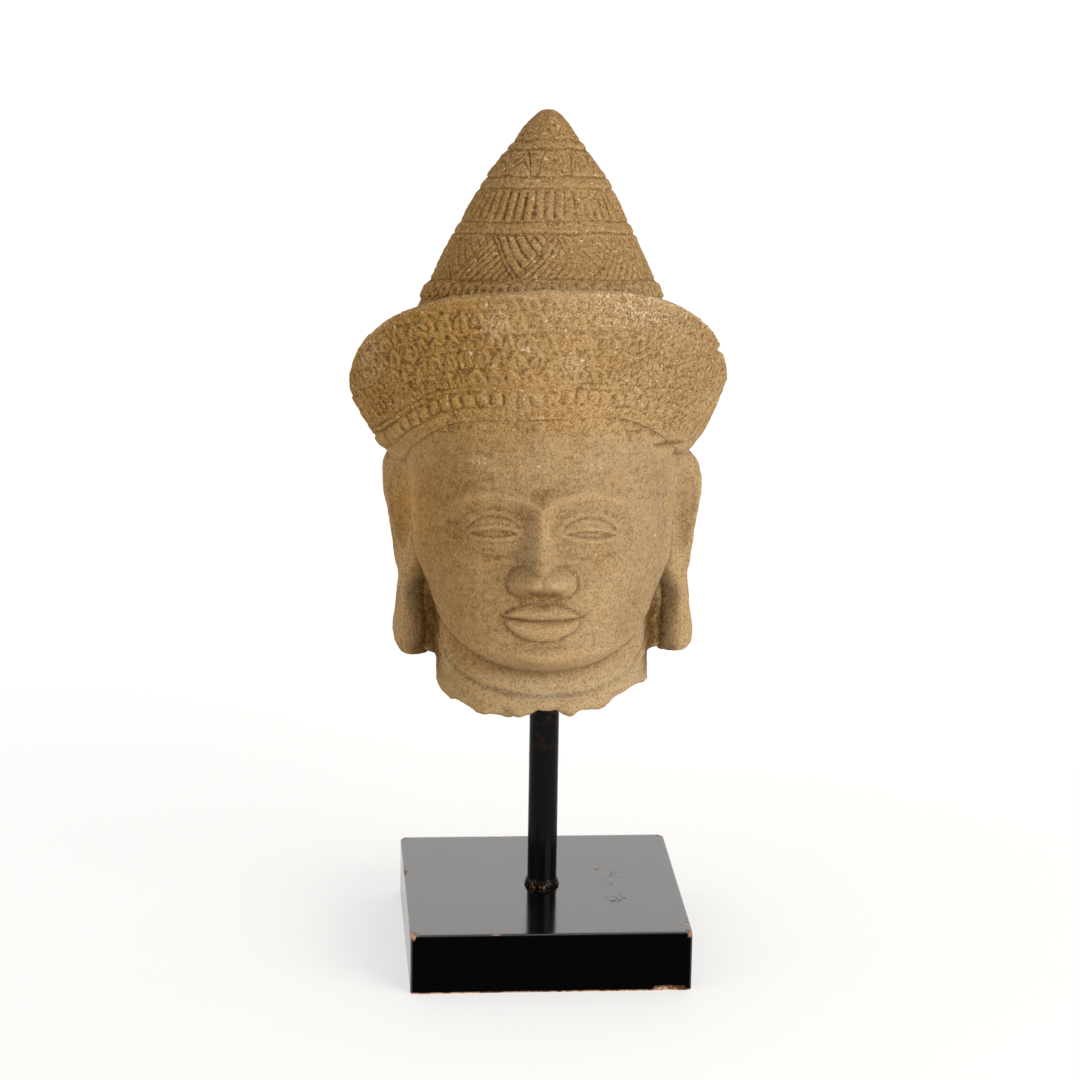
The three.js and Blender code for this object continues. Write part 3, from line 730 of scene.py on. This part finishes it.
def blockPoints():
    # square rings up the sides and over the rounded edges, then in along the top and down the round socket
    b = blockSettings
    half, tall, edge = b["side"] / 2, b["height"], b["edge"]
    side = 0.25 * spread((0, 0.05, 10), (0.05, 0.95, 44), (0.95, 1, 10))[:-1]
    share = np.concatenate([k / 4 + side for k in range(4)])
    turn = np.linspace(0, math.pi / 2, 6)
    upright = np.linspace(edge, tall - edge, 14)[1:-1]
    insets = np.concatenate([edge * (1 - np.sin(turn)), 0 * upright, edge * (1 - np.cos(turn))])
    heights = np.concatenate([edge * (1 - np.cos(turn)), upright, tall - edge + edge * np.sin(turn)])
    rings = []
    for inset, z in zip(insets, heights):
        outline = squareRing(share, half - inset, b["corner"])
        rings.append(np.concatenate([outline, np.full((len(share), 1), z)], axis=1))
    inward = spread((0, 1, 26))[1:]
    outer = rings[-1]
    bearing = np.arctan2(outer[:, 0], -outer[:, 1])
    circle = tube(b["socketRadius"], bearing, tall)
    top = [lerp(outer, circle, t) for t in inward]
    floor = circle - (0, 0, b["socketDepth"])
    base = [rings[0] * (width, width, 1) for width in (0.35, 0.7, 0.96)]
    lowPole = rings[0] * (0, 0, 1)
    highPole = floor * (0, 0, 1)
    return np.concatenate([[lowPole], base, rings, top, [floor], [highPole]])


chipMarks = [  # (place, size) of knocks on the block, millimetres
    ((-74.6, -75, 33), (3.4, 2, 1.6)), ((74.8, -75, 32.6), (2.2, 2, 1.4)), ((-75, -71, 32.9), (1.4, 4, 1.2)),
    ((33.5, 20, 33.3), (1.1, 1.1, 0.6)), ((12, -75, 33.2), (1.6, 1, 0.5)),
    ((-30, -75, 33.2), (1, 1, 0.4)), ((63, -75, 0.8), (7, 2, 1.2)),
    ((75, -60, 33.2), (1, 6, 0.5)), ((-75, 20, 33.2), (1, 8, 0.5)), ((74.5, 75, 33), (3, 3, 2)),
    ((-74.5, 75, 32.8), (2.4, 3, 2)), ((-20, 75, 33.1), (9, 1.2, 0.6)), ((40, 75, 0.6), (11, 1.6, 1)),
]


def knocked(points):
    # each knock presses the skin in, and its depth is kept as the chip mask
    mask = np.zeros(len(points))
    for centre, size in chipMarks:
        ragged = 1 + 0.35 * lumps(points, 1.7, 71)
        near = np.exp(-((((points - centre) / size) / ragged[:, None]) ** 2).sum(axis=1))
        mask = np.maximum(mask, near)
    towards = (0, 0, blockSettings["height"] / 2) - points
    towards /= np.linalg.norm(towards, axis=1)[:, None]
    return points + towards * (0.9 * step(mask, 0.35, 0.7))[:, None], step(mask, 0.3, 0.5)


def buildRod():
    rod = newObject("supportRod", meshFromGrid("supportRod", rodPoints()))
    rod.data.transform(Matrix.Scale(mm, 4))
    print("rod:", len(rod.data.polygons), "faces")
    return rod


def buildBlock():
    block = newObject("baseBlock", meshFromGrid("baseBlock", blockPoints()))
    points, chips = knocked(vertexArray(block.data))
    block.data.vertices.foreach_set("co", points.ravel())
    setAttribute(block.data, "chip", chips)
    block.data.transform(Matrix.Scale(mm, 4))
    block.data.update()
    print("block:", len(block.data.polygons), "faces")
    return block


# materials

def newMaterial(name):
    material = bpy.data.materials.new(name)
    material.use_nodes = True
    tree = material.node_tree
    return material, tree, tree.nodes["Principled BSDF"]


def feed(tree, given, socket):
    # a socket is linked, a plain value is set
    if isinstance(given, bpy.types.NodeSocket):
        tree.links.new(given, socket)
    else:
        socket.default_value = given


def put(tree, made, **given):
    # inputs by name, with an underscore for a space
    for name, value in given.items():
        feed(tree, value, made.inputs[name.replace("_", " ")])


def node(tree, kind, **given):
    # a new node with its settings and inputs by name
    made = tree.nodes.new(kind)
    for name, value in given.items():
        if hasattr(made, name):
            setattr(made, name, value)
        else:
            put(tree, made, **{name: value})
    return made


def objectPlace(tree):
    return node(tree, "ShaderNodeTexCoord").outputs["Object"]


def tone(tree, name):
    return node(tree, "ShaderNodeAttribute", attribute_name=name).outputs["Fac"]


def maths(tree, operation, a, b=0.0, clamp=False):
    made = node(tree, "ShaderNodeMath", operation=operation, use_clamp=clamp)
    feed(tree, a, made.inputs[0])
    feed(tree, b, made.inputs[1])
    return made.outputs[0]


def times(tree, a, b):
    return maths(tree, "MULTIPLY", a, b, True)


def ranged(tree, given, low, high, start=0.0, end=1.0):
    # low to high becomes start to end, level beyond
    made = node(tree, "ShaderNodeMapRange", Value=given, From_Min=low, From_Max=high)
    put(tree, made, To_Min=start, To_Max=end)
    return made.outputs["Result"]


def mixed(tree, amount, under, over, blend="MIX"):
    mix = node(tree, "ShaderNodeMix", data_type="RGBA", blend_type=blend)
    for index, given in ((0, amount), (6, under), (7, over)):
        feed(tree, given, mix.inputs[index])
    return mix.outputs[2]


def noise(tree, place, scale, detail, roughness=0.5):
    made = node(tree, "ShaderNodeTexNoise", Vector=place, Scale=scale, Detail=detail, Roughness=roughness)
    return made.outputs["Fac"]


def bumped(tree, height, strength, distance, under=None, invert=False):
    # height in the noise's own range becomes a bump of this distance in metres, over an earlier one
    bump = node(tree, "ShaderNodeBump", Height=height, Strength=strength, Distance=distance, invert=invert)
    if under:
        put(tree, bump, Normal=under)
    return bump.outputs["Normal"]


def buildSpeckleGroup():
    # noise of a given size turned into a mask: 0 below the threshold, 1 above it by the softness
    group = bpy.data.node_groups.new("speckle", "ShaderNodeTree")
    group.interface.new_socket("Vector", in_out="INPUT", socket_type="NodeSocketVector")
    for name in ("Scale", "Threshold", "Softness"):
        group.interface.new_socket(name, in_out="INPUT", socket_type="NodeSocketFloat")
    group.interface.new_socket("Mask", in_out="OUTPUT", socket_type="NodeSocketFloat")
    entry = node(group, "NodeGroupInput").outputs
    grains = noise(group, entry["Vector"], entry["Scale"], 3, 0.6)
    ramp = node(group, "ShaderNodeMapRange", interpolation_type="SMOOTHSTEP", Value=grains)
    high = maths(group, "ADD", entry["Threshold"], entry["Softness"])
    put(group, ramp, From_Min=entry["Threshold"], From_Max=high)
    node(group, "NodeGroupOutput", Mask=ramp.outputs["Result"])
    return group


speckleGroup = buildSpeckleGroup()


def speckle(tree, place, scale, threshold, softness):
    made = node(tree, "ShaderNodeGroup", node_tree=speckleGroup)
    put(tree, made, Vector=place, Scale=scale, Threshold=threshold, Softness=softness)
    return made.outputs["Mask"]


stoneColours = {
    "tan": (0.295, 0.158, 0.050, 1), "sand": (0.40, 0.248, 0.102, 1), "umber": (0.185, 0.085, 0.018, 1),
    "grey": (0.37, 0.295, 0.185, 1), "rustAndEarLight": (0.50, 0.245, 0.055, 1), "pale": (0.70, 0.56, 0.39, 1),
    "deep": (0.05, 0.021, 0.004, 1), "light": (0.52, 0.345, 0.165, 1), "warmShadeColour": (0.90, 0.80, 0.54, 1),
}


def buildStoneMaterial():
    # colour: tan and sand patches, then region tones that also carry painted shade and painted light, painted
    # shade in hollows and a painted highlight on ridges, two grains, a painted warm shade over the left, rare
    # specks, and bloom with a painted highlight along the rim
    material, tree, shader = newMaterial("sandstone")
    c = stoneColours
    place = objectPlace(tree)
    crown, hollow, grainPower = tone(tree, "crown"), tone(tree, "hollow"), tone(tree, "grain")

    def specks(scale, threshold, softness):
        return speckle(tree, place, scale, threshold, softness)

    def layer(under, over, amount, power=1.0):
        return mixed(tree, times(tree, amount, power), under, c[over])

    clouds = specks(150, 0.38, 0.3)
    mottle = maths(tree, "SUBTRACT", 0.68, times(tree, crown, 0.23))
    colour = mixed(tree, specks(38, 0.36, 0.3), c["tan"], c["sand"])
    colour = layer(colour, "umber", clouds, 0.38)
    colour = layer(colour, "umber", specks(210, 0.47, 0.2), mottle)
    colour = layer(colour, "light", times(tree, specks(240, 0.5, 0.2), grainPower), 0.3)
    for name, power in (("grey", 0.6), ("umber", 0.5), ("rustAndEarLight", 0.6)):
        colour = layer(colour, name, tone(tree, name), power)
    # painted shade: the deep colour in hollows
    colour = layer(colour, "deep", hollow, 0.7)
    # painted shade in broad hollows
    colour = layer(colour, "umber", tone(tree, "form"), 0.38)
    # painted highlight: the light colour on ridges, where the hollow tone is below zero
    colour = layer(colour, "light", hollow, -0.5)
    colour = layer(colour, "umber", times(tree, specks(800, 0.46, 0.18), grainPower), 0.75)
    colour = layer(colour, "light", times(tree, specks(1000, 0.48, 0.18), grainPower), 0.7)
    # painted warm shade multiplied over the left side
    colour = mixed(tree, tone(tree, "leftShade"), colour, c["warmShadeColour"], "MULTIPLY")
    colour = layer(colour, "pale", specks(260, 0.715, 0.03), 0.8)
    colour = layer(colour, "pale", times(tree, specks(900, 0.5, 0.14), 0.8), tone(tree, "pale"))
    colour = layer(colour, "pale", times(tree, specks(420, 0.65, 0.03), crown), 0.75)
    rough = bumped(tree, noise(tree, place, 750, 5, 0.72), 0.9, 0.001)
    pitted = bumped(tree, specks(430, 0.56, 0.1), 0.5, 0.0006, rough, invert=True)
    put(tree, shader, Base_Color=colour, Roughness=ranged(tree, clouds, 0, 1, 0.82, 0.98))
    put(tree, shader, Normal=pitted, Specular_IOR_Level=0.06)
    return material


rodColours = {
    "paint": (0.002, 0.0018, 0.0018, 1), "rubbed": (0.05, 0.017, 0.009, 1), "crumb": (0.22, 0.10, 0.045, 1),
}


def buildRodMaterial():
    # black paint, rubbed to red-brown in patches towards the top, with bare crumbs in the bead at the foot
    material, tree, shader = newMaterial("rodPaint")
    c = rodColours
    place = objectPlace(tree)
    height = node(tree, "ShaderNodeSeparateXYZ", Vector=place).outputs["Z"]
    rubbed = times(tree, ranged(tree, height, 0.100, 0.150), speckle(tree, place, 190, 0.5, 0.15))
    crumbs = times(tree, ranged(tree, height, 0.0385, 0.0345), speckle(tree, place, 420, 0.55, 0.06))
    colour = mixed(tree, times(tree, rubbed, 0.6), c["paint"], c["rubbed"])
    roughness = ranged(tree, speckle(tree, place, 260, 0.4, 0.3), 0, 1, 0.16, 0.26)
    uneven = bumped(tree, noise(tree, place, 700, 2), 0.25, 0.0002)
    put(tree, shader, Base_Color=mixed(tree, crumbs, colour, c["crumb"]), Roughness=roughness, Normal=uneven)
    put(tree, shader, Specular_IOR_Level=0.02, Coat_Weight=0.12, Coat_Roughness=0.14)
    return material


def scratches(tree, place):
    # fine wandering lines: where a noise crosses its middle value, kept inside one oval patch on the top
    wander = noise(tree, place, 70, 1)
    line = ranged(tree, maths(tree, "ABSOLUTE", maths(tree, "SUBTRACT", wander, 0.5)), 0.008, 0.003)
    x, y = blockSettings["scratchPlace"]
    wide, long = blockSettings["scratchReach"]
    patch = node(tree, "ShaderNodeMapping", Vector=place)
    put(tree, patch, Location=(-x / wide, -y / long, 0), Scale=(1 / wide, 1 / long, 0))
    reach = node(tree, "ShaderNodeVectorMath", operation="LENGTH", Vector=patch.outputs["Vector"])
    return times(tree, line, ranged(tree, reach.outputs["Value"], 1.0, 0.7))


blockColours = {
    "lacquer": (0.001, 0.001, 0.001, 1), "dust": (0.10, 0.10, 0.10, 1), "scratch": (0.004, 0.004, 0.004, 1),
    "darkWood": (0.16, 0.055, 0.02, 1), "wood": (0.50, 0.30, 0.19, 1),
}


def buildBlockMaterial():
    # lacquer glossy on the top and the sides across X, dull in front, bare wood at knocks and along the foot
    material, tree, shader = newMaterial("blackLacquer")
    c = blockColours
    place = objectPlace(tree)
    across, _, height = node(tree, "ShaderNodeSeparateXYZ", Vector=place).outputs
    wood = mixed(tree, speckle(tree, place, 300, 0.4, 0.2), c["darkWood"], c["wood"])
    foot = times(tree, ranged(tree, height, 0.0011, 0.0006), speckle(tree, place, 160, 0.3, 0.1))
    bare = maths(tree, "MAXIMUM", tone(tree, "chip"), foot, True)
    dust = times(tree, speckle(tree, place, 1400, 0.68, 0.04), 0.35)
    scratched = scratches(tree, place)
    colour = mixed(tree, dust, c["lacquer"], c["dust"])
    colour = mixed(tree, scratched, colour, c["scratch"])
    smears = ranged(tree, speckle(tree, place, 22, 0.35, 0.4), 0, 1, 0.13, 0.2)
    top = ranged(tree, height, 0.0324, 0.0331)
    sides = ranged(tree, maths(tree, "ABSOLUTE", across), 0.0738, 0.0746, 0.003, 0.6)
    worn = maths(tree, "MAXIMUM", bare, times(tree, scratched, 0.6))
    coat = times(tree, maths(tree, "MAXIMUM", top, sides), maths(tree, "SUBTRACT", 1.0, worn))
    uneven = bumped(tree, noise(tree, place, 45, 2), 0.06, 0.0004)
    roughness = maths(tree, "ADD", smears, times(tree, bare, 0.6))
    put(tree, shader, Base_Color=mixed(tree, bare, colour, wood), Roughness=roughness, Normal=uneven)
    put(tree, shader, Specular_IOR_Level=0.004, Coat_Weight=coat, Coat_Roughness=0.12, Coat_IOR=2.2)
    return material


# stage, light and camera

stageSettings = {
    "floorHalf": 3.0, "backdropRise": 2.4, "backdropCurve": 1.2,
    "sweepColour": (0.46, 0.452, 0.442, 1), "glow": 0.51, "glowColour": (1, 0.993, 0.986, 1),
    "keyPower": 55, "keyPlace": (1.55, -1.65, 0.62), "keySize": 1.8,
    "fillPower": 6, "fillPlace": (-1.6, -1.3, 1.0), "fillSize": 1.6,
    "backPower": 13, "backPlace": (1.4, 0.7, 1.1), "backAim": (0.6, 3.0, 0.5), "backSize": 0.8,
    "worldStrength": 0.72,
    "lens": 116.83, "cameraPlace": (-0.1450, -1.8021, 0.7297), "cameraTarget": (-0.00383, 0.0003, 0.2290),
    "cameraRoll": 0.89,
}


def buildStage():
    # one white sweep: flat in front, then up a quarter circle behind
    g = stageSettings
    turn = np.linspace(0, math.pi / 2, 24)
    curve = g["backdropCurve"]
    half = g["floorHalf"]
    depth = np.concatenate([[-half], half - curve + curve * np.sin(turn), [half]])[:, None]
    height = np.concatenate([[0], curve * (1 - np.cos(turn)), [curve + g["backdropRise"]]])[:, None]
    x = np.array([-half, half])
    points = np.stack(np.broadcast_arrays(x, depth, height), axis=-1).reshape(-1, 3)
    first = 2 * np.arange(len(depth) - 1)
    faces = np.stack([first, first + 1, first + 3, first + 2], axis=-1)
    mesh = bpy.data.meshes.new("sweep")
    mesh.from_pydata(points, [], faces.tolist())
    mesh.polygons.foreach_set("use_smooth", np.ones(len(faces), bool))
    sweep = newObject("sweep", mesh)
    material, tree, shader = newMaterial("sweepWhite")
    put(tree, shader, Base_Color=g["sweepColour"], Roughness=0.9)
    put(tree, shader, Emission_Color=g["glowColour"], Emission_Strength=g["glow"])
    mesh.materials.append(material)


def areaLight(name, place, power, size, colour, aim=(0, 0, 0.25)):
    lamp = bpy.data.lights.new(name, "AREA")
    lamp.energy = power
    lamp.size = size
    lamp.color = colour
    thing = newObject(name, lamp)
    thing.location = place
    thing.rotation_euler = (Vector(aim) - Vector(place)).to_track_quat("-Z", "Y").to_euler()


def buildLights():
    # key from the right front, a weak fill from the left, and two lamps on the backdrop alone
    g = stageSettings
    areaLight("key", g["keyPlace"], g["keyPower"], g["keySize"], (1, 0.985, 0.96))
    areaLight("fill", g["fillPlace"], g["fillPower"], g["fillSize"], (1, 1, 1))
    for side in (-1, 1):
        flip = Vector((side, 1, 1))
        place, aim = flip * Vector(g["backPlace"]), flip * Vector(g["backAim"])
        areaLight("back", place, g["backPower"], g["backSize"], (1, 1, 1), aim)
    world = bpy.data.worlds.new("studio")
    world.use_nodes = True
    tree = world.node_tree
    put(tree, tree.nodes["Background"], Color=(1, 1, 1, 1), Strength=g["worldStrength"])
    bpy.context.scene.world = world


def buildCamera():
    g = stageSettings
    camera = bpy.data.cameras.new("camera")
    camera.lens = g["lens"]
    camera.sensor_width = 36
    camera.clip_end = 50
    thing = newObject("camera", camera)
    aim = (Vector(g["cameraTarget"]) - Vector(g["cameraPlace"])).to_track_quat("-Z", "Y").to_matrix()
    roll = Matrix.Rotation(math.radians(g["cameraRoll"]), 3, "Z")
    thing.matrix_world = Matrix.Translation(g["cameraPlace"]) @ (aim @ roll).to_4x4()
    bpy.context.scene.camera = thing


def dress(piece, material, nodeName):
    piece.data.materials.clear()
    piece.data.materials.append(material)
    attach(piece, "root")
    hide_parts(nodeName)


dress(buildStoneHead(), buildStoneMaterial(), "stone_head")
dress(buildRod(), buildRodMaterial(), "support_rod")
dress(buildBlock(), buildBlockMaterial(), "base_block")
buildStage()
buildLights()
buildCamera()
bpy.context.scene.view_settings.view_transform = "Standard"
print("pieces, stage, lights and camera ready")
